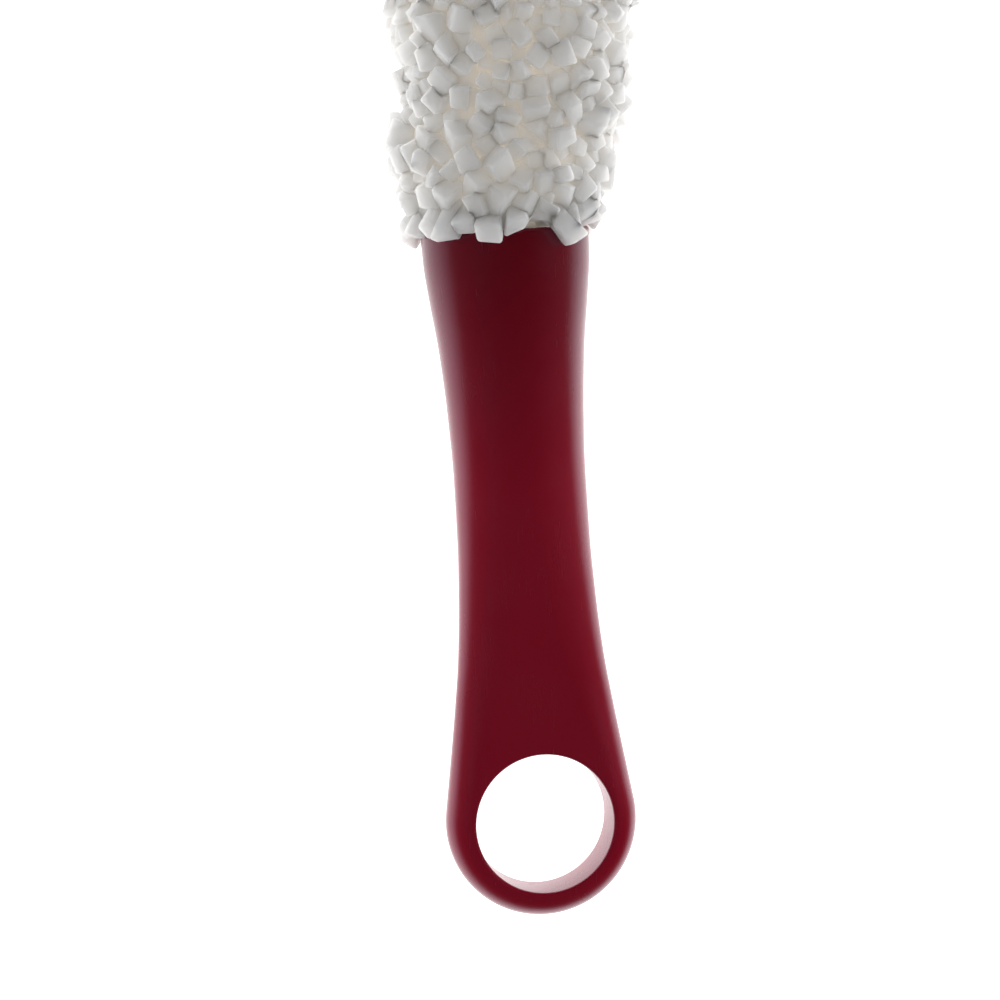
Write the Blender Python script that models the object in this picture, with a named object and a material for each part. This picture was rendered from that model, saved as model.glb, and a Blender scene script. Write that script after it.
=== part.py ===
"""Foam-bristle hand brush: a hollow moulded handle with a hanging eye, and a foam head on a twisted wire.

The wire is one length, folded in half at the tip and twisted. Each half turn of the twist grips one
tier of foam bristles. The tails of the wire pass through a plug that closes the handle's mouth and
are splayed behind it, so the head can't pull out.

The brush lies on its foam head, with its long axis along Y and the hanging eye at the -Y end.
While the pieces are made, the origin is the centre of the handle's mouth: the handle runs towards
-Y and the head towards +Y. The last step moves the origin to the bottom centre of the whole brush.
"""

import math

import bmesh
import bpy
from mathutils import Matrix, Vector

MM = 0.001

# Handle. Stations are (distance from the mouth, value), and a smooth curve runs through them.
HALF_WIDTHS = [
    (0, 17.45), (6, 17.25), (13, 16.55), (25, 15.1), (38, 14.2),
    (51, 13.8), (64, 13.9), (76, 14.4), (88, 15.3), (99, 16.7),
]
HALF_THICKNESSES = [(0, 17.45), (6, 17.2), (17, 15.7), (32, 13.5), (58, 11.0), (84, 8.0), (98, 6.5)]
EDGE_SHARES = [(0, 1.0), (58, 1.0), (84, 0.72), (99, 0.46)]
EYE_DISTANCE = 123.4
EYE_OUTER_RADIUS = 20.15
EYE_HOLE_RADIUS = 14.5
EYE_HALF_THICKNESS = 6.5
EYE_SIDE_SLOPE = 0.152
EYE_HOLE_FILLET = 0.9
EYE_START = 101.0
LIP_RADIUS = 0.9
CAVITY_DEPTH = 92.0
CAVITY_END_TAPER = 0.55
CAVITY_HALF_WIDTHS = [(0, 14.85), (51, 11.1), (CAVITY_DEPTH, 9.8)]
CAVITY_HALF_HEIGHTS = [(0, 14.85), (51, 8.8), (CAVITY_DEPTH, 4.6)]

# Plug in the mouth. Depths run from the mouth.
PLUG_TOP = 3.2
PLUG_WEB_END = 6.7
PLUG_SKIRT_END = 12.2
PLUG_BOSS_END = 13.2
PLUG_SKIRT = 1.8
PLUG_BOSS_RADIUS = 5.2
PLUG_GAP = 0.4

# Twisted wire.
WIRE_RADIUS = 0.9
TWIST_RADIUS = 1.05
TWIST_PITCH = 16.0
TWIST_STEPS = 8
WIRE_TAIL_DEPTH = 14.0
WIRE_TAIL = [(2.2, 6.4), (2.0, 4.2), (1.4, 2.2)]
WIRE_TIP = 226.0
WIRE_LOOP = [(1.6, 1.9), (3.2, 1.5)]
WIRE_LOOP_TOP = 3.9
NECK_START = -3.0
NECK_RADIUS = 40.0
NECK_ANGLE = math.radians(5.5)

# Foam head. Distances run along the wire from the mouth.
HEAD_LENGTH = 238.0
HEAD_RADII = [(0, 20.0), (8, 22.0), (20, 23.2), (36, 24.2), (52, 25.3), (66, 25.5)]
HEAD_DOME = 26.0
TIER_COUNT = 28
TIER_START = 0.6
REST_GAP = 0.4
TIER_PITCH = 8.0
TIER_THICKNESS = 7.2
PETALS = 12
PETAL_VALLEY = 0.7
WIRE_HOLE_RADIUS = 2.5
LOOP_HOLE_RADIUS = 3.3
LOOP_HOLE_ENDS = [(7.0, 2.0), (6.0, LOOP_HOLE_RADIUS)]
TIP_RINGS = 5

# Facets.
SECTION_POINTS = 32
GRIP_LOOPS = (LIP_RADIUS, 4, 8, 13, 19, 26, 34, 44, 55, 66, 76, 84, 91, 96.5, EYE_START)
CAVITY_LOOPS = (0.97, 0.86, 0.72, 0.55, 0.38, 0.22, 0.1)
RIM_RAYS = 30
FACE_STEPS = 6


def clear_scene():
    for obj in list(bpy.data.objects):
        bpy.data.objects.remove(obj, do_unlink=True)


def plastic(name, colour, roughness, metallic=0.0):
    material = bpy.data.materials.new(name)
    material.use_nodes = True
    shader = material.node_tree.nodes["Principled BSDF"]
    shader.inputs["Base Color"].default_value = (*colour, 1.0)
    shader.inputs["Roughness"].default_value = roughness
    shader.inputs["Metallic"].default_value = metallic
    return material


def smooth_through(stations, at):
    """Value at a distance on a monotone cubic through (distance, value) stations, flat beyond its ends."""
    if at <= stations[0][0]:
        return stations[0][1]
    if at >= stations[-1][0]:
        return stations[-1][1]
    index = max(i for i, station in enumerate(stations) if station[0] <= at)
    (x0, y0), (x1, y1) = stations[index], stations[index + 1]

    def rise(i):
        i = min(max(i, 0), len(stations) - 2)
        return (stations[i + 1][1] - stations[i][1]) / (stations[i + 1][0] - stations[i][0])

    def slope(i):
        before, after = rise(i - 1), rise(i)
        return 2 * before * after / (before + after) if before * after > 0 else 0.0

    t = (at - x0) / (x1 - x0)
    span = x1 - x0
    return (
        (2 * t**3 - 3 * t**2 + 1) * y0
        + (t**3 - 2 * t**2 + t) * span * slope(index)
        + (3 * t**2 - 2 * t**3) * y1
        + (t**3 - t**2) * span * slope(index + 1)
    )


def half_width(distance):
    """Half the handle's width: the stations, then a straight flank, then the round end of the eye."""
    tangent = math.atan(EYE_SIDE_SLOPE)
    flank_end = EYE_DISTANCE - EYE_OUTER_RADIUS * math.sin(tangent)
    if distance >= flank_end:
        along = distance - EYE_DISTANCE
        return math.sqrt(max(EYE_OUTER_RADIUS**2 - along**2, 0.0))
    flank_width = EYE_OUTER_RADIUS * math.cos(tangent)
    return smooth_through([*HALF_WIDTHS, (flank_end, flank_width)], distance)


def half_thickness(distance):
    return smooth_through([*HALF_THICKNESSES, (EYE_DISTANCE, EYE_HALF_THICKNESS)], distance)


def edge_width(distance):
    """How far the edge's rounding reaches in from the side: down to the waist, the whole half width."""
    rim = EYE_OUTER_RADIUS - EYE_HOLE_RADIUS
    if distance > EYE_DISTANCE:
        return rim
    rim_share = rim / EYE_OUTER_RADIUS
    past_eye = EYE_DISTANCE + EYE_OUTER_RADIUS
    shares = [*EDGE_SHARES, (EYE_DISTANCE, rim_share), (past_eye, rim_share)]
    return half_width(distance) * smooth_through(shares, distance)


def surface_height(x, distance):
    """Height of the handle's upper face above its middle plane."""
    if distance > EYE_DISTANCE:
        inward = EYE_OUTER_RADIUS - math.hypot(x, distance - EYE_DISTANCE)
    else:
        inward = half_width(distance) - abs(x)
    rest = 1 - min(max(inward / edge_width(distance), 0.0), 1.0)
    return half_thickness(distance) * math.sqrt(1 - rest**2)


def outer_section(distance, inset=0.0):
    """Points round one cross-section of the grip, from its +X side over the top."""
    width, points = half_width(distance), []
    for k in range(SECTION_POINTS):
        turn = 2 * math.pi * k / SECTION_POINTS
        x = width * math.cos(turn)
        height = math.copysign(surface_height(x, distance), math.sin(turn))
        if abs(math.sin(turn)) < 1e-9:
            height = 0.0
        shrink = 1 - inset / width
        points.append(Vector((x * shrink, -distance, height * shrink)))
    return points


def ellipse_section(distance, across, up):
    return [
        Vector((
            across * math.cos(2 * math.pi * k / SECTION_POINTS),
            -distance,
            up * math.sin(2 * math.pi * k / SECTION_POINTS),
        ))
        for k in range(SECTION_POINTS)
    ]


def cavity_size(distance):
    """Half-axes of the moulded cavity, which narrows from the mouth so that its core can be drawn."""
    return smooth_through(CAVITY_HALF_WIDTHS, distance), smooth_through(CAVITY_HALF_HEIGHTS, distance)


def ray_reach(direction):
    """Distance from the eye's centre to the handle's outline along a unit direction in plan."""
    if direction.y <= 0:
        return EYE_OUTER_RADIUS
    near, far = EYE_HOLE_RADIUS, 2 * EYE_OUTER_RADIUS
    for _ in range(40):
        middle = (near + far) / 2
        inside = abs(direction.x) * middle < half_width(EYE_DISTANCE - direction.y * middle)
        near, far = (middle, far) if inside else (near, middle)
    return near


def ray_profile(direction, reach):
    """Upper points along a ray of the eye, from the middle of the hole's wall to just short of its reach.

    They draw closer together outwards, where the faces curve down to the handle's side.
    """
    points = []
    for k in range(4):
        turn = math.pi / 2 * k / 3
        points.append((EYE_HOLE_FILLET * (1 - math.cos(turn)), EYE_HOLE_FILLET * (1 - math.sin(turn))))
    inner = EYE_HOLE_RADIUS + EYE_HOLE_FILLET
    for k in range(1, FACE_STEPS):
        share = math.sin(math.pi / 2 * k / FACE_STEPS)
        points.append((inner + (reach - inner) * share - EYE_HOLE_RADIUS, 0.0))
    profile = []
    for out, drop in points:
        radius = EYE_HOLE_RADIUS + out
        x = direction.x * radius
        distance = EYE_DISTANCE - direction.y * radius
        profile.append(Vector((x, -distance, surface_height(x, distance) - drop)))
    return profile


def mirrored(point):
    return Vector((point.x, point.y, -point.z))


def loft(bm, loops):
    """Quads between neighbouring closed loops of vertices."""
    for near, far in zip(loops, loops[1:]):
        count = len(near)
        for k in range(count):
            n = (k + 1) % count
            bm.faces.new((near[k], near[n], far[n], far[k]))


def build_handle():
    """The grip is lofted from the mouth to the eye, and the eye is built on rays from its centre."""
    bm = bmesh.new()

    def ring(points):
        return [bm.verts.new(p) for p in points]

    across, up = cavity_size(CAVITY_DEPTH)
    loops = [ring(ellipse_section(CAVITY_DEPTH, across * CAVITY_END_TAPER, up * CAVITY_END_TAPER))]
    bm.faces.new(loops[0])
    for share in CAVITY_LOOPS:
        depth = CAVITY_DEPTH * share
        loops.append(ring(ellipse_section(depth, *cavity_size(depth))))
    inner = CAVITY_HALF_WIDTHS[0][1]
    loops.append(ring(ellipse_section(LIP_RADIUS, inner, inner)))
    for k in range(1, 4):
        turn = math.pi / 2 * k / 3
        rise = LIP_RADIUS * (1 - math.sin(turn))
        radius = inner + LIP_RADIUS * (1 - math.cos(turn))
        loops.append(ring(ellipse_section(rise, radius, radius)))
    for k in range(3):
        turn = math.pi / 2 * k / 3
        drop = LIP_RADIUS * (1 - math.cos(turn))
        loops.append(ring(outer_section(drop, inset=LIP_RADIUS * (1 - math.sin(turn)))))
    for distance in GRIP_LOOPS:
        loops.append(ring(outer_section(distance)))
    loft(bm, loops)
    build_eye(bm, loops[-1])
    bmesh.ops.recalc_face_normals(bm, faces=bm.faces)
    return mesh_object("handle", bm)


def build_eye(bm, junction):
    """Joins the last section of the grip to the ring round the hanging hole."""
    centre = Vector((0, -EYE_DISTANCE, 0))
    half = SECTION_POINTS // 2
    rays = []
    for k in range(half + 1):
        toward = junction[k].co - centre
        flat = Vector((toward.x, toward.y, 0))
        direction = flat.normalized()
        on_side = k in (0, half)
        profile = ray_profile(direction, flat.length)
        uppers = [bm.verts.new(p) for p in profile] + [junction[k]]
        lowers = [bm.verts.new(mirrored(p)) for p in profile]
        lowers.append(junction[k] if on_side else junction[-k])
        rays.append((uppers, lowers))
    start = math.atan2(junction[half].co.y - centre.y, junction[half].co.x)
    end = math.atan2(junction[0].co.y - centre.y, junction[0].co.x) + 2 * math.pi
    for k in range(1, RIM_RAYS):
        turn = start + (end - start) * k / RIM_RAYS
        direction = Vector((math.cos(turn), math.sin(turn), 0))
        reach = ray_reach(direction)
        profile = ray_profile(direction, reach)
        side = bm.verts.new(centre + direction * reach)
        rays.append((
            [bm.verts.new(p) for p in profile] + [side],
            [bm.verts.new(mirrored(p)) for p in profile] + [side],
        ))
    for k, (uppers, lowers) in enumerate(rays):
        next_uppers, next_lowers = rays[(k + 1) % len(rays)]
        bm.faces.new((uppers[0], next_uppers[0], next_lowers[0], lowers[0]))
        for i in range(len(uppers) - 1):
            bm.faces.new((uppers[i], uppers[i + 1], next_uppers[i + 1], next_uppers[i]))
            bm.faces.new((lowers[i], next_lowers[i], next_lowers[i + 1], lowers[i + 1]))


def mesh_object(name, bm):
    """An object of the finished bmesh, given in millimetres, shaded smooth but for its sharp edges."""
    bm.transform(Matrix.Scale(MM, 4))
    mesh = bpy.data.meshes.new(name)
    bm.to_mesh(mesh)
    bm.free()
    mesh.shade_smooth()
    mesh.set_sharp_from_angle(angle=math.radians(35))
    obj = bpy.data.objects.new(name, mesh)
    bpy.context.scene.collection.objects.link(obj)
    return obj


def spine(distance):
    """(point, direction) on the head's axis: straight out of the plug, a short bend, then straight."""
    arc = NECK_ANGLE * NECK_RADIUS
    turned = min(max((distance - NECK_START) / NECK_RADIUS, 0.0), NECK_ANGLE)
    point = Vector((NECK_RADIUS * (1 - math.cos(turned)), NECK_START + NECK_RADIUS * math.sin(turned), 0))
    direction = Vector((math.sin(turned), math.cos(turned), 0))
    if distance < NECK_START:
        point += direction * (distance - NECK_START)
    elif distance > NECK_START + arc:
        point += direction * (distance - NECK_START - arc)
    return point, direction


def on_spine(distance, radius, turn):
    """A point at a radius and an angle round the head's axis."""
    point, direction = spine(distance)
    side = Vector((direction.y, -direction.x, 0))
    return point + side * (radius * math.cos(turn)) + Vector((0, 0, radius * math.sin(turn)))


def build_wire():
    """One wire: a splayed tail, a twisted run to the tip, a small loop, and the other run back."""
    step = TWIST_PITCH / TWIST_STEPS
    turn_step = 2 * math.pi / TWIST_STEPS
    count = round((WIRE_TIP + WIRE_TAIL_DEPTH) / step)
    end = count * step - WIRE_TAIL_DEPTH
    runs = []
    for strand in (0, math.pi):
        tail = [on_spine(-WIRE_TAIL_DEPTH - drop, radius, strand) for drop, radius in WIRE_TAIL]
        twist = [
            on_spine(k * step - WIRE_TAIL_DEPTH, TWIST_RADIUS, strand + k * turn_step)
            for k in range(count + 1)
        ]
        angle = strand + count * turn_step
        loop_side = [on_spine(end + rise, radius, angle) for rise, radius in WIRE_LOOP]
        runs.append(tail + twist + loop_side)
    points = [*runs[0], on_spine(end + WIRE_LOOP_TOP, 0.0, 0.0), *reversed(runs[1])]

    curve = bpy.data.curves.new("wire_core", "CURVE")
    curve.dimensions = "3D"
    curve.bevel_depth = WIRE_RADIUS * MM
    curve.bevel_resolution = 1
    curve.use_fill_caps = True
    spline = curve.splines.new("POLY")
    spline.points.add(len(points) - 1)
    for target, point in zip(spline.points, points):
        target.co = (*(point * MM), 1.0)
    obj = bpy.data.objects.new("wire_core", curve)
    bpy.context.scene.collection.objects.link(obj)
    return obj


def build_plug():
    """A moulded cup, open towards the handle's far end, with a boss round the twisted wire."""
    top_radius = min(cavity_size(PLUG_TOP)) - PLUG_GAP
    skirt_radius = min(cavity_size(PLUG_SKIRT_END)) - PLUG_GAP
    profile = [
        (WIRE_HOLE_RADIUS, PLUG_TOP),
        (top_radius, PLUG_TOP),
        (skirt_radius, PLUG_SKIRT_END),
        (skirt_radius - PLUG_SKIRT, PLUG_SKIRT_END),
        (skirt_radius - PLUG_SKIRT, PLUG_WEB_END),
        (PLUG_BOSS_RADIUS, PLUG_WEB_END),
        (PLUG_BOSS_RADIUS, PLUG_BOSS_END),
        (WIRE_HOLE_RADIUS, PLUG_BOSS_END),
    ]
    bm = bmesh.new()
    sections = [ellipse_section(depth, radius, radius) for radius, depth in profile]
    rings = [[bm.verts.new(point) for point in section] for section in sections]
    loft(bm, [*rings, rings[0]])
    bmesh.ops.recalc_face_normals(bm, faces=bm.faces)
    return mesh_object("core_plug", bm)


def head_radius(distance):
    """Radius of the foam head, which swells from the mouth and ends in a dome."""
    dome_start = HEAD_LENGTH - HEAD_DOME
    full = smooth_through(HEAD_RADII, distance)
    if distance <= dome_start:
        return full
    return full * math.sqrt(max(1 - ((distance - dome_start) / HEAD_DOME) ** 2, 0.0))


def petal_outline(radius, turn):
    """(radius, angle) corners of one petal: its valley, then the two corners of its flat end."""
    half = math.pi / PETALS / 2
    corner = radius / math.cos(half)
    return [(radius * PETAL_VALLEY, turn - 2 * half), (corner, turn - half), (corner, turn + half)]


def above_mouth(point):
    """Foam that would dip into the handle is squashed against its mouth instead."""
    return Vector((point.x, max(point.y, REST_GAP), point.z))


def build_tier(index):
    """One tier of bristles as a flower of flat-ended petals round the wire."""
    low = TIER_START + index * TIER_PITCH
    middle = low + TIER_THICKNESS / 2
    radius = head_radius(middle)
    phase = -math.pi / 2 + (index % 2) * math.pi / PETALS
    bm = bmesh.new()
    rims, hubs = [], []
    for distance in (low, low + TIER_THICKNESS):
        rim, hub = [], []
        for k in range(PETALS):
            turn = phase + 2 * math.pi * k / PETALS
            outline = [on_spine(distance, r, a) for r, a in petal_outline(radius, turn)]
            inner = on_spine(distance, WIRE_HOLE_RADIUS, turn - math.pi / PETALS)
            rim += [bm.verts.new(above_mouth(point)) for point in outline]
            hub.append(bm.verts.new(above_mouth(inner)))
        rims.append(rim)
        hubs.append(hub)
    loft(bm, rims)
    loft(bm, hubs)
    for rim, hub in zip(rims, hubs):
        for k in range(PETALS):
            n = (k + 1) % PETALS
            bm.faces.new((rim[3 * k], rim[3 * k + 1], rim[3 * k + 2], rim[3 * n], hub[n], hub[k]))
    bmesh.ops.recalc_face_normals(bm, faces=bm.faces)
    return mesh_object(f"foam_tier_{index + 1:02d}", bm)


def build_tip():
    """The domed tuft over the wire's loop, with a blind hole that the loop sits in."""
    low = TIER_START + TIER_COUNT * TIER_PITCH
    sides = 2 * PETALS
    bm = bmesh.new()

    def ring(distance, radius):
        turns = [2 * math.pi * (k + 0.5) / sides for k in range(sides)]
        return [bm.verts.new(on_spine(distance, radius, turn)) for turn in turns]

    loops = [ring(WIRE_TIP + rise, radius) for rise, radius in LOOP_HOLE_ENDS]
    bm.faces.new(loops[0])
    loops.append(ring(low, LOOP_HOLE_RADIUS))
    for k in range(TIP_RINGS):
        distance = low + (HEAD_LENGTH - low) * math.sin(math.pi / 2 * k / TIP_RINGS)
        loops.append(ring(distance, head_radius(distance)))
    loft(bm, loops)
    top = bm.verts.new(on_spine(HEAD_LENGTH, 0.0, 0.0))
    for k in range(sides):
        bm.faces.new((loops[-1][k], loops[-1][(k + 1) % sides], top))
    bmesh.ops.recalc_face_normals(bm, faces=bm.faces)
    return mesh_object("foam_tip", bm)


def world_bounds(objects):
    """Lowest and highest corner of the evaluated objects."""
    graph = bpy.context.evaluated_depsgraph_get()
    corners = []
    for obj in objects:
        evaluated = obj.evaluated_get(graph)
        mesh = evaluated.to_mesh()
        corners += [evaluated.matrix_world @ v.co for v in mesh.vertices]
        evaluated.to_mesh_clear()
    low = Vector([min(c[i] for c in corners) for i in range(3)])
    high = Vector([max(c[i] for c in corners) for i in range(3)])
    return low, high


def main():
    clear_scene()
    burgundy = plastic("burgundy_gloss_plastic", (0.115, 0.006, 0.014), 0.18)
    natural = plastic("natural_plastic", (0.62, 0.6, 0.56), 0.45)
    steel = plastic("galvanised_steel", (0.56, 0.57, 0.58), 0.35, metallic=1.0)
    foam = plastic("white_foam", (0.86, 0.85, 0.82), 0.9)

    handle, plug, wire = build_handle(), build_plug(), build_wire()
    tiers = [build_tier(index) for index in range(TIER_COUNT)]
    bristles = [*tiers, build_tip()]
    for obj, material in ((handle, burgundy), (plug, natural), (wire, steel)):
        obj.data.materials.append(material)
    for obj in bristles:
        obj.data.materials.append(foam)

    pieces = [handle, plug, wire, *bristles]
    bpy.context.view_layer.update()
    low, high = world_bounds(pieces)
    brush = bpy.data.objects.new("brush", None)
    bpy.context.scene.collection.objects.link(brush)
    brush.location = (-(low.x + high.x) / 2, -(low.y + high.y) / 2, -low.z)
    for obj in pieces:
        obj.parent = brush
    bpy.context.view_layer.update()


main()
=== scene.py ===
"""Looks of the foam-bristle hand brush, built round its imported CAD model.

Shapes are made in millimetres in the brush's own frame, and moved to the CAD's place when they become
pieces. That frame's origin is the centre of the handle's mouth. The handle runs from it towards -Y,
the head towards +Y along an axis bent a little towards +X, and +Z is square to the hanging eye.
"""

import math

import bpy
import numpy as np
from mathutils import Matrix, Vector


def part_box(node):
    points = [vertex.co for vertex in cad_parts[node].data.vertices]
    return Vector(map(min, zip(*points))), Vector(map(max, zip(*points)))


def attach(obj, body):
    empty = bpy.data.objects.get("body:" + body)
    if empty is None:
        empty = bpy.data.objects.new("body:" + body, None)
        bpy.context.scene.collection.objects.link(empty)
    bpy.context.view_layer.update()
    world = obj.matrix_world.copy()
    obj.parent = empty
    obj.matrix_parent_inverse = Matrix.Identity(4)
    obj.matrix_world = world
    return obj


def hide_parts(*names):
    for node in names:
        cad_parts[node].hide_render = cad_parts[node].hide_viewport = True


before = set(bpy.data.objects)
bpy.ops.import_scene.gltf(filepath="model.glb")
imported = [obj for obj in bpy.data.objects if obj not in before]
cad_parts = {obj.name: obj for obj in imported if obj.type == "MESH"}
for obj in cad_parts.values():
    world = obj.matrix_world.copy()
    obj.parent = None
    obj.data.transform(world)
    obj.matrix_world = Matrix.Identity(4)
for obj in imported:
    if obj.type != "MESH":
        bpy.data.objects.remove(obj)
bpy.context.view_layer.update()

MM = 0.001
SEED = 20

# The handle. Stations are (distance from the mouth, value), as in the CAD.
HALF_WIDTHS = [
    (0, 17.45), (6, 17.25), (13, 16.55), (25, 15.1), (38, 14.2),
    (51, 13.8), (64, 13.9), (76, 14.4), (88, 15.3), (99, 16.7),
]
HALF_THICKNESSES = [(0, 17.45), (6, 17.2), (17, 15.7), (32, 13.5), (58, 11.0), (84, 8.0), (98, 6.5)]
EDGE_SHARES = [(0, 1.0), (58, 1.0), (84, 0.72), (99, 0.46)]
EYE_DISTANCE = 123.4
EYE_OUTER_RADIUS = 20.15
EYE_HOLE_RADIUS = 14.5
EYE_HALF_THICKNESS = 6.5
EYE_SIDE_SLOPE = 0.152
EYE_HOLE_FILLET = 0.9
EYE_START = 101.0
LIP_RADIUS = 0.9
CAVITY_DEPTH = 92.0
CAVITY_TAPER = 4.0
CAVITY_HALF_WIDTHS = [(0, 14.85), (51, 11.1), (CAVITY_DEPTH, 9.8)]
CAVITY_HALF_HEIGHTS = [(0, 14.85), (51, 8.8), (CAVITY_DEPTH, 4.6)]

# The plug in the handle's mouth, and the wire that it holds, as in the CAD.
PLUG_TOP = 3.2
PLUG_SKIRT_END = 12.2
PLUG_SKIRT = 1.8
PLUG_WEB_END = 6.7
PLUG_BOSS_RADIUS = 5.2
PLUG_BOSS_END = 13.2
PLUG_GAP = 0.4
PLUG_EDGE = 0.45
PLUG_EDGE_STEPS = 4
WIRE_HOLE_RADIUS = 2.5
WIRE_RADIUS = 0.9
TWIST_PITCH = 16.0
TWIST_STEPS = 8
TWIST_RADIUS = 1.05
WIRE_TAIL_DEPTH = 14.0
WIRE_TAIL = [(2.2, 6.4), (2.0, 4.2), (1.4, 2.2)]
WIRE_TIP = 226.0
WIRE_LOOP = [(1.6, 1.9), (3.2, 1.5)]
WIRE_LOOP_TOP = 3.9
NECK_START = -3.0
NECK_RADIUS = 40.0
NECK_ANGLE = math.radians(5.5)
WIRE_SIDES = 12
WIRE_SMOOTHING = 3

# How finely the handle is drawn.
SECTION_POINTS = 144
RIM_RAYS = 150
GRIP_STEP = 0.8
CAVITY_STEPS = 40
ROUNDING_STEPS = 6
FACE_STEPS = 26
FILLET_STEPS = 7
BISECTIONS = 40

# The foam head. Each strip is a chain of points below its end, which the other strips' chains push aside.
TIERS = sorted(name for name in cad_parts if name.startswith("foam_tier_"))
HEAD_DOME = 26.0
TIP_DEPTH = 10.0
MOUTH_HEAD_RADIUS = 19.8
STRIP_SPACING = 5.0

# Layers of strips: (start along the head, spacing, least and most that an end lies below the outline, share
# of strips that lie over as bars).
LAYERS = [(2.2, STRIP_SPACING, (0.0, 2.4), 0.4), (3.5, 1.55 * STRIP_SPACING, (2.6, 4.0), 0.0)]
GOLDEN_ANGLE = math.pi * (3 - math.sqrt(5))
SEAT_SHAKE = 0.35
LEAN_SPREAD = 0.5
BAR_LEANS = (0.8, 1.3)
UPPER_LEAN_SHARE = 0.85
LOWER_LEAN_SHARE = 0.4
CHAIN_DEPTHS = np.array([2.0, 6.0, 10.5])
END_BLOCK_DEPTH = 2.1
CHAIN_RADII = np.array([2.3, 2.05, 1.7])
ROOT_RADIUS = 1.8
ROOT_SHAKE = 2.0
ROOT_TURN_SHAKE = 0.3

# How the strips are pushed apart: steps, how often the neighbours are listed, how far they reach, the
# shares of an overlap, of a lost depth and of a changed lean that one step mends, and the share of a
# chain's radius that stays above the floor.
RELAX_STEPS = 70
RELIST_STEPS = 10
CHAIN_REACH = 12.0
PUSH_SHARE = 0.22
DEPTH_SHARE = 0.3
LEAN_SHARE = 0.2
FLOOR_SHARE = 0.8

# How an end block fits between its neighbours.
BLOCK_REACH = 8.5
LEVEL_REACH = 2.8
OPEN_GAP = 6.4
FACING_COSINE = 0.74
ALONG_COSINE = 0.8
CLOSEST_BLOCKS = 2.0
TWIST_SPREAD = 0.12
HALF_WIDTH_LIMITS = (1.9, 3.1)
HALF_DEPTH_LIMITS = (1.6, 2.6)
SIZE_SHAKE = (0.92, 1.07)

# The drawn strip: curve steps from root to end, sizes by the curve's parameter, and its cut end.
CURVE_STEPS = (1, 2, 3, 2)
STRIP_SCALES = [(0.0, 0.3), (1.0, 0.72), (2.0, 0.9), (3.0, 1.0), (4.0, 1.0)]
CORNER_RADIUS = 0.75
CORNER_POINTS = 4
END_FILLET = 0.5
END_FILLET_TURNS = np.radians([0, 35, 65, 90])
CAP_SCALE = 0.55
CAP_RISE = 0.1
CAP_MIDDLE_RISE = 0.14
CUT_START = 2.6
CUT_DEPTH = 1.1
CUT_SPREAD = 0.22
SKEW = 0.07
HANDLE_CLEARANCE = 0.35
MOUTH_FAVOUR = 1.0
FLOOR_CLEARANCE = 0.05

# Strips folded down over the handle's rim: the turn round the mouth in degrees, how far the middle of the
# end block is beyond the mouth and out from its axis, the fold and the sideways lean in degrees, its two
# half sizes, and the slant of its cut end.
RIM_STRIPS = [
    (56, -1.7, 19.7, 86, -47, 2.45, 1.6, 0.45),
    (91, 1.6, 19.9, 38, 10, 2.4, 2.1, 0.0),
    (107, 0.3, 20.6, 32, 0, 2.7, 2.2, 0.0),
    (121, 2.0, 19.8, 40, 6, 2.2, 2.0, 0.0),
    (134, 0.6, 20.0, 66, 14, 2.3, 2.2, 0.0),
    (146, 2.0, 19.4, 48, -8, 2.2, 2.1, 0.0),
    (168, 1.6, 18.8, 58, 0, 2.1, 1.9, 0.0),
    (44, 3.6, 20.1, 50, -20, 2.6, 1.9, 0.0),
    (24, 3.2, 18.9, 45, 0, 2.3, 2.0, 0.0),
    (4, 2.0, 18.5, 50, 12, 2.2, 1.9, 0.0),
    (188, 2.4, 19.0, 42, -10, 2.5, 2.0, 0.0),
    (206, 0.4, 20.2, 70, 22, 2.4, 1.9, 0.0),
    (226, 2.6, 20.5, 36, 0, 2.6, 2.1, 0.0),
    (243, 1.2, 20.0, 58, -26, 2.2, 1.9, 0.0),
    (262, -0.6, 19.9, 80, 34, 2.6, 1.8, 0.0),
    (281, 2.2, 20.4, 40, 8, 2.3, 2.2, 0.0),
    (300, 1.0, 20.3, 62, -12, 2.5, 1.9, 0.0),
    (318, 2.6, 20.4, 38, 4, 2.4, 2.0, 0.0),
    (338, 0.6, 18.8, 68, -30, 2.3, 1.8, 0.0),
]
RIM_ROOT_DISTANCE = 1.0
RIM_FOLD_RISE = 3.6
RIM_FOLD_DEPTH = 3.4
RIM_FLAT_FOLD = 0.8
NOTCH_TURNS = (math.radians(69), math.radians(87))
NOTCH_TOP = 3.8
NOTCH_FLOOR_RADIUS = 9.0
# Painted shade near the rim: over RIM_SHADE_LENGTH, the foam's painted glow and warm colour fade to none
# RIM_SHADE_START past the mouth, on the handle's side.
RIM_SHADE_START = 2.0
RIM_SHADE_LENGTH = 10.0

# The twisted core makes a slow wave in the head's outline, which winds round it.
WAVE_HEIGHT = 0.9
WAVE_LIFT = 0.4
WAVE_LENGTH = 30.0
WAVE_CREST = 13.0

# Places where clumps of strips stand further out, or in: (turn, distance, height, reach along the head).
BULGES = [(180, 14, 1.0, 7), (180, 36, 0.6, 6), (0, 40, 0.5, 9), (10, 2, -2.6, 4)]

# Colours, with painted shade that darkens the handle towards its mouth, and painted warm light and glow
# that grow with depth in the foam. Most noise lies in NOISE_REACH.
NOISE_REACH = (0.3, 0.7)
PLASTIC_COLOUR = (0.262, 0.0028, 0.0152)
# Painted shade: the darker colour that the handle takes towards its mouth, and how far from the mouth that
# darkening starts.
MOUTH_SHADE_COLOUR = (0.125, 0.001, 0.005)
MOUTH_SHADE_LENGTH = 54.0
RUB_STRETCH = (1.0, 0.06, 1.0)
RUB_ROUGHNESS = 0.03
FOAM_COLOUR = (0.75, 0.747, 0.74)
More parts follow.
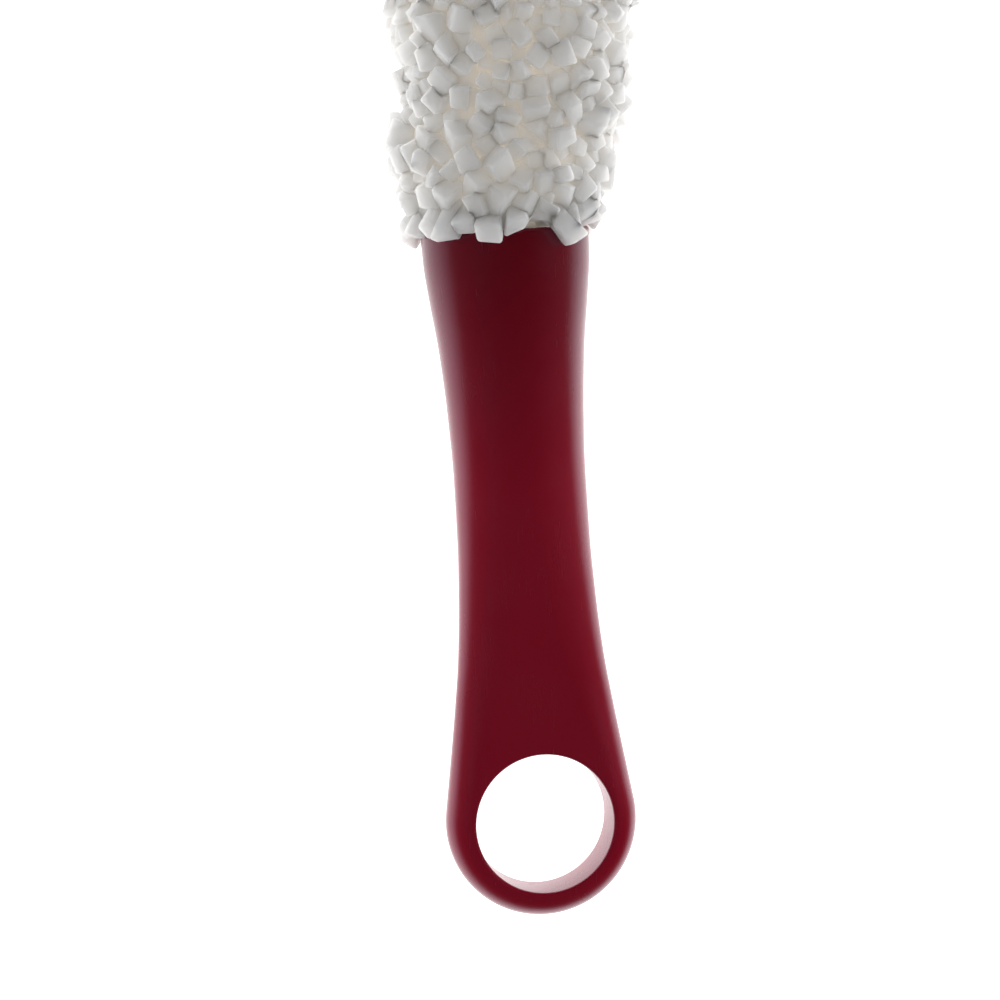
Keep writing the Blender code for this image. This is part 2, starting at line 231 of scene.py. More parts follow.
# Painted warm light: the foam turns to the next colour deep in the gaps between strips, over the first pair
# of depths below.
PAINTED_GAP_LIGHT_COLOUR = (0.86, 0.77, 0.64)
# Painted glow: warm light that the foam gives off, more with depth, over the second pair of depths below,
# in place of light passing through it.
FOAM_GLOW_COLOUR = (1.0, 0.94, 0.84, 1.0)
FOAM_GLOW = 0.13
GAP_LIGHT_DEPTHS = (2.5, 9.0)
GLOW_DEPTHS = (-0.5, 5.0)

# Brightness of the table by distance in metres, and of the room by height. What gloss mirrors is given
# apart, because it shows a small white table in a dark room.
FLOOR_GLOW_REACH = (0.25, 1.5)
FLOOR_GLOW = (1.25, 0.55)
FLOOR_MIRROR_CENTRE = (0.0, -0.16, 0.0)
FLOOR_MIRROR = [(0.0, 0.95), (0.09, 1.0), (0.19, 0.33), (0.36, 0.15), (1.0, 0.07)]
FLOOR_MIRROR_LEVEL = 1.5
FLOOR_HALF_SIZE = 3.0
ROOM = [(0.0, 0.5), (0.3, 0.03)]
ROOM_MIRROR = [(0.0, 0.12), (0.17, 0.065), (0.36, 0.04), (1.0, 0.02)]

# Soft boxes: (name, place from the handle's mouth in metres, size in metres, power in watts).
LIGHTS_TARGET = Vector((0, -0.03, 0))
LIGHTS = [
    ("overhead", (-0.05, -0.16, 0.55), (1.5, 1.5), 2.75),
    ("left_side", (-0.5, 0.0, 0.12), (0.3, 0.8), 0.8),
    ("right_side", (0.5, 0.0, 0.12), (0.3, 0.8), 1.7),
]

# The camera looks down on the brush from over the head's side, and a little from the left.
CAMERA_DISTANCE = 600.0
CAMERA_FRAME = 208.0
CAMERA_TOWARDS_HEAD = math.radians(4.7)
CAMERA_TO_LEFT = math.radians(8.2)
CAMERA_ROLL = math.radians(-3.6)
CAMERA_TARGET = Vector((-4.45, -55.7, 0.0))
SENSOR = 36.0


# ---- places, from the frame

def box_centre(node):
    low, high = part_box(node)
    return (low + high) / 2


def brush_origin():
    """The centre of the handle's mouth, in metres."""
    low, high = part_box("handle")
    return Vector(((low.x + high.x) / 2, high.y, (low.z + high.z) / 2))


ORIGIN = brush_origin()
TO_WORLD = Matrix.Translation(ORIGIN) @ Matrix.Scale(MM, 4)
FLOOR_HEIGHT = -ORIGIN.z / MM


def head_axis():
    """(where the head's axis crosses the handle's, its direction), from two tiers far apart."""
    near = (box_centre(TIERS[4]) - ORIGIN) / MM
    far = (box_centre(TIERS[-4]) - ORIGIN) / MM
    direction = (far - near).normalized()
    return near - direction * (near.x / direction.x), direction


NECK, HEAD_DIRECTION = head_axis()
HEAD_SIDE = Vector((HEAD_DIRECTION.y, -HEAD_DIRECTION.x, 0))
HEAD_LENGTH = NECK.y + ((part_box("foam_tip")[1].y - ORIGIN.y) / MM - NECK.y) / HEAD_DIRECTION.y


def along_head(node):
    """Distance of a tier's middle from the mouth, along the head's axis."""
    return NECK.y + ((box_centre(node) - ORIGIN) / MM - NECK).dot(HEAD_DIRECTION)


def tier_radius(node):
    low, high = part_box(node)
    return (high.z - low.z) / 2 / MM


TIER_PLACES = [along_head(name) for name in TIERS]
HEAD_RADII = [(0.0, MOUTH_HEAD_RADIUS), *zip(TIER_PLACES, [tier_radius(name) for name in TIERS])]


# ---- pieces

def add_mesh(name, points, faces):
    """An object from points in the brush's frame."""
    points = np.asarray(points, float) * MM + np.array(ORIGIN)
    mesh = bpy.data.meshes.new(name)
    mesh.from_pydata(points.tolist(), [], faces)
    mesh.validate()
    mesh.shade_smooth()
    obj = bpy.data.objects.new(name, mesh)
    bpy.context.scene.collection.objects.link(obj)
    return obj


def band_faces(loop, next_loop, sides):
    """Faces between two loops of points, counted from 0."""
    near, far = loop * sides, next_loop * sides
    return [[near + k, near + (k + 1) % sides, far + (k + 1) % sides, far + k] for k in range(sides)]


def finish_piece(obj, material, node):
    """The piece takes a CAD node's place."""
    obj.data.materials.append(material)
    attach(obj, "root")
    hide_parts(node)


# ---- the handle

def smooth_through(stations, at):
    """Value at a distance on a monotone cubic through (distance, value) stations, flat beyond both ends."""
    if at <= stations[0][0]:
        return stations[0][1]
    if at >= stations[-1][0]:
        return stations[-1][1]
    index = max(i for i, station in enumerate(stations) if station[0] <= at)
    (x0, y0), (x1, y1) = stations[index], stations[index + 1]

    def rise(i):
        i = min(max(i, 0), len(stations) - 2)
        return (stations[i + 1][1] - stations[i][1]) / (stations[i + 1][0] - stations[i][0])

    def slope(i):
        before, after = rise(i - 1), rise(i)
        return 2 * before * after / (before + after) if before * after > 0 else 0.0

    t = (at - x0) / (x1 - x0)
    span = x1 - x0
    return (
        (2 * t**3 - 3 * t**2 + 1) * y0
        + (t**3 - 2 * t**2 + t) * span * slope(index)
        + (3 * t**2 - 2 * t**3) * y1
        + (t**3 - t**2) * span * slope(index + 1)
    )


def half_width(distance):
    """Half the handle's width: the stations, then a straight flank, then the round end of the eye."""
    tangent = math.atan(EYE_SIDE_SLOPE)
    flank_end = EYE_DISTANCE - EYE_OUTER_RADIUS * math.sin(tangent)
    if distance >= flank_end:
        along = distance - EYE_DISTANCE
        return math.sqrt(max(EYE_OUTER_RADIUS**2 - along**2, 0.0))
    flank_width = EYE_OUTER_RADIUS * math.cos(tangent)
    return smooth_through([*HALF_WIDTHS, (flank_end, flank_width)], distance)


def half_thickness(distance):
    return smooth_through([*HALF_THICKNESSES, (EYE_DISTANCE, EYE_HALF_THICKNESS)], distance)


def edge_width(distance):
    """How far the rounding of the handle's edge reaches in from its side."""
    rim = EYE_OUTER_RADIUS - EYE_HOLE_RADIUS
    if distance > EYE_DISTANCE:
        return rim
    rim_share = rim / EYE_OUTER_RADIUS
    past_eye = EYE_DISTANCE + EYE_OUTER_RADIUS
    shares = [*EDGE_SHARES, (EYE_DISTANCE, rim_share), (past_eye, rim_share)]
    return half_width(distance) * smooth_through(shares, distance)


def surface_height(x, distance):
    """Height of the handle's upper face above its middle plane."""
    if distance > EYE_DISTANCE:
        inward = EYE_OUTER_RADIUS - math.hypot(x, distance - EYE_DISTANCE)
    else:
        inward = half_width(distance) - abs(x)
    rest = 1 - min(max(inward / edge_width(distance), 0.0), 1.0)
    return half_thickness(distance) * math.sqrt(1 - rest**2)


def outer_section(distance, inset=0.0):
    """Points round one cross-section of the grip, from its +X side over the top."""
    width, points = half_width(distance), []
    shrink = 1 - inset / width
    for k in range(SECTION_POINTS):
        turn = 2 * math.pi * k / SECTION_POINTS
        x = width * math.cos(turn)
        height = surface_height(x, distance) * (1 if math.sin(turn) > 0 else -1)
        if k % (SECTION_POINTS // 2) == 0:
            height = 0.0
        points.append((x * shrink, -distance, height * shrink))
    return points


def ellipse_section(distance, across, up):
    turns = [2 * math.pi * k / SECTION_POINTS for k in range(SECTION_POINTS)]
    return [(across * math.cos(turn), -distance, up * math.sin(turn)) for turn in turns]


def cavity_section(distance):
    across = smooth_through(CAVITY_HALF_WIDTHS, distance)
    return ellipse_section(distance, across, smooth_through(CAVITY_HALF_HEIGHTS, distance))


def grip_sections():
    """Every loop of the grip: up the cavity from its closed end, round the lip, and down the outside."""
    sections = []
    for k in range(ROUNDING_STEPS):
        turn = math.pi / 2 * (k + 1) / (ROUNDING_STEPS + 1)
        depth = CAVITY_DEPTH - CAVITY_TAPER * (1 - math.cos(turn))
        shrink = math.sin(turn)
        sections.append([(x * shrink, y, z * shrink) for x, y, z in cavity_section(depth)])
    taper_start = CAVITY_DEPTH - CAVITY_TAPER
    for k in range(CAVITY_STEPS):
        sections.append(cavity_section(taper_start + (LIP_RADIUS - taper_start) * k / CAVITY_STEPS))
    inner = CAVITY_HALF_WIDTHS[0][1]
    for k in range(ROUNDING_STEPS + 1):
        turn = math.pi / 2 * k / ROUNDING_STEPS
        radius = inner + LIP_RADIUS * (1 - math.cos(turn))
        sections.append(ellipse_section(LIP_RADIUS * (1 - math.sin(turn)), radius, radius))
    for k in range(ROUNDING_STEPS):
        turn = math.pi / 2 * k / ROUNDING_STEPS
        drop = LIP_RADIUS * (1 - math.cos(turn))
        sections.append(outer_section(drop, inset=LIP_RADIUS * (1 - math.sin(turn))))
    grip_steps = round((EYE_START - LIP_RADIUS) / GRIP_STEP)
    for k in range(grip_steps + 1):
        sections.append(outer_section(LIP_RADIUS + (EYE_START - LIP_RADIUS) * k / grip_steps))
    return sections


def ray_reach(dx, dy):
    """Distance from the eye's centre to the handle's outline along a unit direction in plan."""
    if dy <= 0:
        return EYE_OUTER_RADIUS
    near, far = EYE_HOLE_RADIUS, 2 * EYE_OUTER_RADIUS
    for _ in range(BISECTIONS):
        middle = (near + far) / 2
        inside = abs(dx) * middle < half_width(EYE_DISTANCE - dy * middle)
        near, far = (middle, far) if inside else (near, middle)
    return near


def ray_profile(dx, dy, reach):
    """Upper points along a ray of the eye, from the hole's edge to just short of its reach."""
    steps = []
    for k in range(FILLET_STEPS):
        turn = math.pi / 2 * k / FILLET_STEPS
        steps.append((EYE_HOLE_FILLET * (1 - math.cos(turn)), EYE_HOLE_FILLET * (1 - math.sin(turn))))
    for k in range(FACE_STEPS):
        share = math.sin(math.pi / 2 * k / FACE_STEPS)
        inner = EYE_HOLE_RADIUS + EYE_HOLE_FILLET
        steps.append((EYE_HOLE_FILLET + (reach - inner) * share, 0.0))
    points = []
    for out, drop in steps:
        radius = EYE_HOLE_RADIUS + out
        distance = EYE_DISTANCE - dy * radius
        points.append((dx * radius, -distance, surface_height(dx * radius, distance) - drop))
    return points


def handle_shape():
    """(points, faces) of the whole handle."""
    sections = grip_sections()
    points = [point for section in sections for point in section]
    faces = [list(range(SECTION_POINTS))]
    for loop in range(len(sections) - 1):
        for k in range(SECTION_POINTS):
            n = (k + 1) % SECTION_POINTS
            near, far = loop * SECTION_POINTS, (loop + 1) * SECTION_POINTS
            faces.append([near + k, far + k, far + n, near + n])

    first = (len(sections) - 1) * SECTION_POINTS
    half = SECTION_POINTS // 2
    rays = []

    def add_ray(dx, dy, reach, upper_end, lower_end):
        profile = ray_profile(dx, dy, reach)
        start = len(points)
        points.extend(profile)
        points.extend((x, y, -z) for x, y, z in profile)
        count = len(profile)
        uppers = [*range(start, start + count), upper_end]
        lowers = [*range(start + count, start + 2 * count), lower_end]
        rays.append((uppers, lowers))

    for k in range(half + 1):
        x, y, _ = points[first + k]
        toward = Vector((x, y + EYE_DISTANCE))
        direction = toward.normalized()
        lower_end = first + k if k in (0, half) else first + SECTION_POINTS - k
        add_ray(direction.x, direction.y, toward.length, first + k, lower_end)
    right = math.atan2(points[first][1] + EYE_DISTANCE, points[first][0])
    left = math.pi - right
    for k in range(1, RIM_RAYS):
        turn = left + (right + 2 * math.pi - left) * k / RIM_RAYS
        dx, dy = math.cos(turn), math.sin(turn)
        reach = ray_reach(dx, dy)
        points.append((dx * reach, dy * reach - EYE_DISTANCE, 0.0))
        side = len(points) - 1
        add_ray(dx, dy, reach, side, side)
    for k, (uppers, lowers) in enumerate(rays):
        next_uppers, next_lowers = rays[(k + 1) % len(rays)]
        faces.append([uppers[0], lowers[0], next_lowers[0], next_uppers[0]])
        for i in range(len(uppers) - 1):
            faces.append([uppers[i], next_uppers[i], next_uppers[i + 1], uppers[i + 1]])
            faces.append([lowers[i], lowers[i + 1], next_lowers[i + 1], next_lowers[i]])
    return points, faces


def make_handle(material):
    points, faces = handle_shape()
    finish_piece(add_mesh("moulded_handle", points, faces), material, "handle")


# ---- the plug and the wire

def unit(vectors):
    return vectors / np.linalg.norm(vectors, axis=-1, keepdims=True)


def rounded(corners, radius, steps):
    """A closed outline through corners, each rounded."""
    points = []
    for k, corner in enumerate(corners):
        corner = Vector(corner)
        before = (Vector(corners[k - 1]) - corner).normalized()
        after = (Vector(corners[(k + 1) % len(corners)]) - corner).normalized()
        for i in range(steps + 1):
            t = i / steps
            points.append(corner + before * radius * (1 - t) ** 2 + after * radius * t**2)
    return points


def make_plug(material):
    """A moulded cup with a boss round the wire, turned from one outline."""
    def fitting_radius(distance):
        across = smooth_through(CAVITY_HALF_WIDTHS, distance)
        return min(across, smooth_through(CAVITY_HALF_HEIGHTS, distance)) - PLUG_GAP

    skirt = fitting_radius(PLUG_SKIRT_END)
    corners = [
        (WIRE_HOLE_RADIUS, PLUG_TOP),
        (fitting_radius(PLUG_TOP), PLUG_TOP),
        (skirt, PLUG_SKIRT_END),
        (skirt - PLUG_SKIRT, PLUG_SKIRT_END),
        (skirt - PLUG_SKIRT, PLUG_WEB_END),
        (PLUG_BOSS_RADIUS, PLUG_WEB_END),
        (PLUG_BOSS_RADIUS, PLUG_BOSS_END),
        (WIRE_HOLE_RADIUS, PLUG_BOSS_END),
    ]
    outline = rounded(corners, PLUG_EDGE, PLUG_EDGE_STEPS)
    points, faces = [], []
    for radius, depth in outline:
        points += ellipse_section(depth, radius, radius)
    for loop in range(len(outline)):
        faces += band_faces(loop, (loop + 1) % len(outline), SECTION_POINTS)
    finish_piece(add_mesh("moulded_plug", points, faces), material, "core_plug")


def on_spine(distance, radius, turn):
    """A point round the wire's middle line, which leaves the plug straight, bends and goes on straight."""
    arc = NECK_ANGLE * NECK_RADIUS
    turned = min(max((distance - NECK_START) / NECK_RADIUS, 0.0), NECK_ANGLE)
    point = Vector((NECK_RADIUS * (1 - math.cos(turned)), NECK_START + NECK_RADIUS * math.sin(turned), 0))
    direction = Vector((math.sin(turned), math.cos(turned), 0))
    if distance < NECK_START:
        point += direction * (distance - NECK_START)
    elif distance > NECK_START + arc:
        point += direction * (distance - NECK_START - arc)
    side = Vector((direction.y, -direction.x, 0))
    return point + side * (radius * math.cos(turn)) + Vector((0, 0, radius * math.sin(turn)))


def on_curve(p0, p1, p2, p3, t):
    """A point from p1 to p2 on the smooth curve that also passes through p0 and p3."""
    cube = 3 * (p1 - p2) + p3 - p0
    square = 2 * p0 - 5 * p1 + 4 * p2 - p3
    return p1 + 0.5 * t * (p2 - p0 + t * (square + t * cube))


def smooth_path(points, steps):
    """A finer path on a smooth curve through points."""
    points = np.array(points)
    padded = np.concatenate([2 * points[:1] - points[1:2], points, 2 * points[-1:] - points[-2:-1]])
    finer = []
    for p0, p1, p2, p3 in zip(padded, padded[1:], padded[2:], padded[3:]):
        for k in range(steps):
            finer.append(on_curve(p0, p1, p2, p3, k / steps))
    return np.array([*finer, points[-1]])


def make_wire(material):
    """One wire: a splayed tail, a twisted run to the tip, a small loop, and the other run back."""
    step = TWIST_PITCH / TWIST_STEPS
    turn_step = 2 * math.pi / TWIST_STEPS
    count = round((WIRE_TIP + WIRE_TAIL_DEPTH) / step)
    end = count * step - WIRE_TAIL_DEPTH
    runs = []
    for strand in (0, math.pi):
        tail = [on_spine(-WIRE_TAIL_DEPTH - drop, radius, strand) for drop, radius in WIRE_TAIL]
        turns = [strand + k * turn_step for k in range(count + 1)]
        twist = [on_spine(k * step - WIRE_TAIL_DEPTH, TWIST_RADIUS, turn) for k, turn in enumerate(turns)]
        loop_side = [on_spine(end + rise, radius, turns[-1]) for rise, radius in WIRE_LOOP]
        runs.append(tail + twist + loop_side)
    loop_top = on_spine(end + WIRE_LOOP_TOP, 0.0, 0.0)
    path = smooth_path([*runs[0], loop_top, *reversed(runs[1])], WIRE_SMOOTHING)

    tangents = unit(np.gradient(path, axis=0))
    across = np.cross(tangents[0], [0.0, 0.0, 1.0])
    turns = np.arange(WIRE_SIDES) * 2 * math.pi / WIRE_SIDES
    points, faces = [], []
    for place, tangent in zip(path, tangents):
        across = unit(across - tangent * (across @ tangent))
        upward = np.cross(tangent, across)
        ring = np.outer(np.cos(turns), across) + np.outer(np.sin(turns), upward)
        points += (place + WIRE_RADIUS * ring).tolist()
    for loop in range(len(path) - 1):
        faces += band_faces(loop, loop + 1, WIRE_SIDES)
    last = (len(path) - 1) * WIRE_SIDES
    faces.append(list(reversed(range(WIRE_SIDES))))
    faces.append(list(range(last, last + WIRE_SIDES)))
    finish_piece(add_mesh("twisted_wire", points, faces), material, "wire_core")


# ---- the foam head

AXIS = np.array(HEAD_DIRECTION)
DOME_START = HEAD_LENGTH - HEAD_DOME


def on_head(distance, radius, turn):
    """Points at distances along, radii from and turns about the head's axis."""
    out = np.multiply.outer(np.cos(turn), np.array(HEAD_SIDE))
    out += np.multiply.outer(np.sin(turn), np.array([0.0, 0.0, 1.0]))
    along = np.asarray(distance, float) - NECK.y
    return np.array(NECK) + np.multiply.outer(along, AXIS) + out * np.asarray(radius)[..., None]


def head_radius(distance):
    """Radius of the head at a distance: through the CAD's tiers, then a dome."""
    into_dome = max(distance - DOME_START, 0.0) / HEAD_DOME
    return smooth_through(HEAD_RADII, min(distance, DOME_START)) * math.sqrt(max(1 - into_dome**2, 0.0))


OUTLINE_DISTANCES = np.concatenate([
    np.linspace(-10.0, DOME_START, 300), DOME_START + HEAD_DOME * np.sin(np.linspace(0.02, math.pi / 2, 60))
])
OUTLINE_RADII = np.array([head_radius(distance) for distance in OUTLINE_DISTANCES])


def wave(distance, turn):
    """How much clumps of strips add to the head's radius."""
    phase = 2 * math.pi * (distance - WAVE_CREST) / WAVE_LENGTH - (turn - math.pi)
    height = WAVE_LIFT + WAVE_HEIGHT * np.cos(phase)
    for bulge_turn, bulge_distance, bulge_height, reach in BULGES:
        facing = np.maximum(np.cos(turn - math.radians(bulge_turn)), 0.0)
        height = height + bulge_height * facing * np.exp(-(((distance - bulge_distance) / reach) ** 2))
    return height


def above_outline(points):
    """(height above the head's outline, outward direction) of points."""
    from_neck = points - np.array(NECK)
    along = from_neck @ AXIS
    into_dome = np.maximum(along + NECK.y - DOME_START, 0.0)
    distance = along - into_dome + NECK.y
    outward = from_neck - (distance - NECK.y)[..., None] * AXIS
    length = np.linalg.norm(outward, axis=-1)
    turn = np.arctan2(outward[..., 2], outward @ np.array(HEAD_SIDE))
    radius = np.interp(distance, OUTLINE_DISTANCES, OUTLINE_RADII) + wave(distance, turn)
    return length - radius, outward / length[..., None]


def spread_seats(rng, start, spacing):
    """(distance, turn) of places spread evenly over the head, on a golden-angle spiral, then shaken."""
    inside = OUTLINE_DISTANCES >= start
    distances, radii = OUTLINE_DISTANCES[inside], OUTLINE_RADII[inside]
    run = np.concatenate([[0], np.cumsum(np.hypot(np.diff(distances), np.diff(radii)))])
    runs, at = [], 0.0
    while at < run[-1]:
        runs.append(at)
        at += spacing**2 * math.sqrt(0.75) / (2 * math.pi * max(np.interp(at, run, radii), spacing / 2))
    count = len(runs)
    runs = np.clip(np.array(runs) + rng.uniform(-SEAT_SHAKE, SEAT_SHAKE, count) * spacing, 0, run[-1])
    turn = np.arange(count) * GOLDEN_ANGLE
    around = np.maximum(np.interp(runs, run, radii), spacing)
    shake = rng.uniform(-SEAT_SHAKE, SEAT_SHAKE, count) * spacing / around
    return np.interp(runs, run, distances), turn + shake


def seat_chains(rng, start, spacing, sinks, bar_share):
    """(distance, turn, chains) of one layer of strips."""
    distance, turn = spread_seats(rng, start, spacing)
    clear = notch_roof(turn) < distance
    distance, turn = distance[clear], turn[clear]
    count = len(distance)
    radius = np.interp(distance, OUTLINE_DISTANCES, OUTLINE_RADII) + wave(distance, turn)
    seat = on_head(distance, radius, turn)
    normal = above_outline(seat)[1]
    sideways = unit(np.cross(normal, rng.normal(size=(count, 3))))
    lean = np.abs(rng.normal(0, LEAN_SPREAD, count))
    lean = np.where(rng.random(count) < bar_share, rng.uniform(*BAR_LEANS, count), lean)[:, None]
    sink = rng.uniform(*sinks, count)[:, None]
    end_block = seat - normal * (sink + END_BLOCK_DEPTH) + sideways * np.sin(lean) * CHAIN_DEPTHS[0]
    upper = normal * np.cos(UPPER_LEAN_SHARE * lean) + sideways * np.sin(UPPER_LEAN_SHARE * lean)
    lower = normal * np.cos(LOWER_LEAN_SHARE * lean) + sideways * np.sin(LOWER_LEAN_SHARE * lean)
    middle = end_block - upper * (CHAIN_DEPTHS[1] - CHAIN_DEPTHS[0])
    deep = middle - lower * (CHAIN_DEPTHS[2] - CHAIN_DEPTHS[1])
    return distance, turn, np.stack([end_block, middle, deep], 1)


def rim_chains():
    """(turns, chains, thin directions, half sizes, slants) of strips folded over the handle's rim."""
    turns, chains, thins = [], [], []
    for turn, beyond, radius, fold, lean, _, thin, _ in RIM_STRIPS:
        turn, fold, lean = math.radians(turn), math.radians(fold), math.radians(lean)
        out = np.array([math.cos(turn), 0.0, math.sin(turn)])
        round_about = np.array([-math.sin(turn), 0.0, math.cos(turn)])
        down = np.array([0.0, -1.0, 0.0]) * math.cos(lean) + round_about * math.sin(lean)
        forward = out * math.cos(fold) + down * math.sin(fold)
        end_block = out * radius + np.array([0.0, beyond, 0.0])
        middle = push_off_handle(end_block - forward * (CHAIN_DEPTHS[1] - CHAIN_DEPTHS[0]), thin)
        deep = middle + np.array([0.0, RIM_FOLD_RISE, 0.0]) - out * RIM_FOLD_DEPTH
        turns.append(turn)
        chains.append(np.stack([end_block, middle, deep]))
        lies_flat = fold > RIM_FLAT_FOLD
        thins.append(out - forward * (out @ forward) if lies_flat else np.cross(forward, round_about))
    half_sizes = np.array([(wide, thin) for *_, wide, thin, _ in RIM_STRIPS])
    slants = np.array([slant for *_, slant in RIM_STRIPS])
    return np.array(turns), np.array(chains), unit(np.array(thins)), half_sizes, slants


def nearby_pairs(points, reach):
    """Index pairs (first < second) of points that are closer than reach."""
    squares = (points**2).sum(1)
    apart = squares[:, None] + squares - 2 * points @ points.T
    first, second = np.nonzero(apart < reach**2)
    keep = first < second
    return first[keep], second[keep]


def notch_roof(turn):
    """Height above the mouth of the pointed gap between two strips that shows the handle's rim."""
    middle, half = sum(NOTCH_TURNS) / 2, (NOTCH_TURNS[1] - NOTCH_TURNS[0]) / 2
    return NOTCH_TOP * (1 - np.abs(np.mod(turn, 2 * math.pi) - middle) / half)


def clear_notch(points):
    """Points lifted out of the gap over the rim."""
    turn = np.arctan2(points[..., 2], points[..., 0])
    outside = np.hypot(points[..., 0], points[..., 2]) > NOTCH_FLOOR_RADIUS
    points[..., 1] = np.where(outside, np.maximum(points[..., 1], notch_roof(turn)), points[..., 1])
    return points


def push_off_handle(points, size):
    """Points kept a size away from the handle's mouth and side."""
    reach = np.hypot(points[..., 0], points[..., 2])
    wall = HALF_WIDTHS[0][1] + HANDLE_CLEARANCE + size
    into_mouth = HANDLE_CLEARANCE + size - points[..., 1]
    into_side = wall - reach
    inside = (into_mouth > 0) & (into_side > 0)
    up = inside & (into_mouth <= into_side + MOUTH_FAVOUR)
    out = inside & ~up
    points[..., 1] += np.where(up, into_mouth, 0.0)
    scale = np.where(out, wall / reach, 1.0)
    points[..., 0] *= scale
    points[..., 2] *= scale
    return points


def relax(chains, fixed):
    """Chains pushed off each other, while each keeps its depth below the outline and its own lean."""
    start = chains.copy()
    depths = above_outline(start)[0]
    shapes = start[:, :-1] - start[:, 1:]
    for step in range(RELAX_STEPS):
        if step % RELIST_STEPS == 0:
            first, second = nearby_pairs(chains[:, 0], CHAIN_REACH)
        move = np.zeros_like(chains)
        for a in range(len(CHAIN_RADII)):
            for b in range(len(CHAIN_RADII)):
                gap = chains[first, a] - chains[second, b]
                distance = np.linalg.norm(gap, axis=1)
                overlap = CHAIN_RADII[a] + CHAIN_RADII[b] - distance
                hit = overlap > 0
                push = gap[hit] * (PUSH_SHARE * overlap[hit] / np.maximum(distance[hit], 1e-6))[:, None]
                np.add.at(move, (first[hit], a), push)
                np.add.at(move, (second[hit], b), -push)
        chains = chains + move
        height, outward = above_outline(chains)
        chains -= outward * (DEPTH_SHARE * (height - depths))[..., None]
        bend = chains[:, :-1] - chains[:, 1:] - shapes
        chains[:, :-1] -= LEAN_SHARE * bend
        chains[:, 1:] += LEAN_SHARE * bend
        chains = push_off_handle(chains, CHAIN_RADII)
        chains[..., 2] = np.maximum(chains[..., 2], FLOOR_HEIGHT + FLOOR_SHARE * CHAIN_RADII)
        chains[fixed] = start[fixed]
    return chains


def fit_neighbours(rng, blocks, forward):
    """(thin direction, half sizes) of each end block, whose flat sides face its nearest neighbours."""
    count = len(blocks)
    along_axis = np.abs(forward @ AXIS)[:, None] > ALONG_COSINE
    reference = np.where(along_axis, np.array([0.0, 0.0, 1.0]), AXIS)
    across = unit(np.cross(forward, reference))
    upward = np.cross(forward, across)
    first, second = nearby_pairs(blocks, BLOCK_REACH)
    one, other = np.concatenate([first, second]), np.concatenate([second, first])
    gap = blocks[other] - blocks[one]
    level = np.abs((gap * forward[one]).sum(1)) < LEVEL_REACH
    one, gap = one[level], gap[level]
    x, y = (gap * across[one]).sum(1), (gap * upward[one]).sum(1)
    angle, apart = np.arctan2(y, x), np.hypot(x, y)
    order = np.zeros(count, complex)
    np.add.at(order, one, np.exp(4j * angle) / np.maximum(apart, CLOSEST_BLOCKS) ** 3)
    quarters = rng.integers(0, 2, count) * math.pi / 2
    twist = np.angle(order) / 4 + quarters + rng.normal(0, TWIST_SPREAD, count)
    reaches = np.full((2, 2, count), OPEN_GAP)
    for axis in range(2):
        for side in range(2):
            facing = np.cos(angle - twist[one] - axis * math.pi / 2 - side * math.pi) > FACING_COSINE
            np.minimum.at(reaches[axis, side], one[facing], apart[facing])
    wide, thin = reaches.mean(1) / 2
    fits = np.stack([np.clip(wide, *HALF_WIDTH_LIMITS), np.clip(thin, *HALF_DEPTH_LIMITS)], 1)
    half_sizes = fits * rng.uniform(*SIZE_SHAKE, (count, 2))
    thin_direction = -across * np.sin(twist)[:, None] + upward * np.cos(twist)[:, None]
    return thin_direction, half_sizes


def centre_lines(controls):
    """(parameters, points) along smooth curves through each strip's five controls."""
    before = 2 * controls[:, :1] - controls[:, 1:2]
    after = 2 * controls[:, -1:] - controls[:, -2:-1]
    controls = np.concatenate([before, controls, after], 1)
    parameters, points = [], []
    for segment, steps in enumerate(CURVE_STEPS):
        p0, p1, p2, p3 = (controls[:, segment + k] for k in range(4))
        for k in range(steps):
            parameters.append(segment + k / steps)
            points.append(on_curve(p0, p1, p2, p3, k / steps))
    parameters.append(float(len(CURVE_STEPS)))
    points.append(controls[:, -2])
    return np.array(parameters), np.stack(points, 1)


def outline_template(half_sizes):
    """Rounded rectangles of each half size: (strips, points round) across, and upward."""
    turns = math.pi / 2 * (np.arange(CORNER_POINTS) + 0.5) / CORNER_POINTS
    across, upward = [], []
    for quarter in range(4):
        east = 1 if quarter in (0, 3) else -1
        north = 1 if quarter in (0, 1) else -1
        angle = turns + quarter * math.pi / 2
        across.append(east * (half_sizes[:, :1] - CORNER_RADIUS) + CORNER_RADIUS * np.cos(angle))
        upward.append(north * (half_sizes[:, 1:] - CORNER_RADIUS) + CORNER_RADIUS * np.sin(angle))
    return np.concatenate(across, 1), np.concatenate(upward, 1)


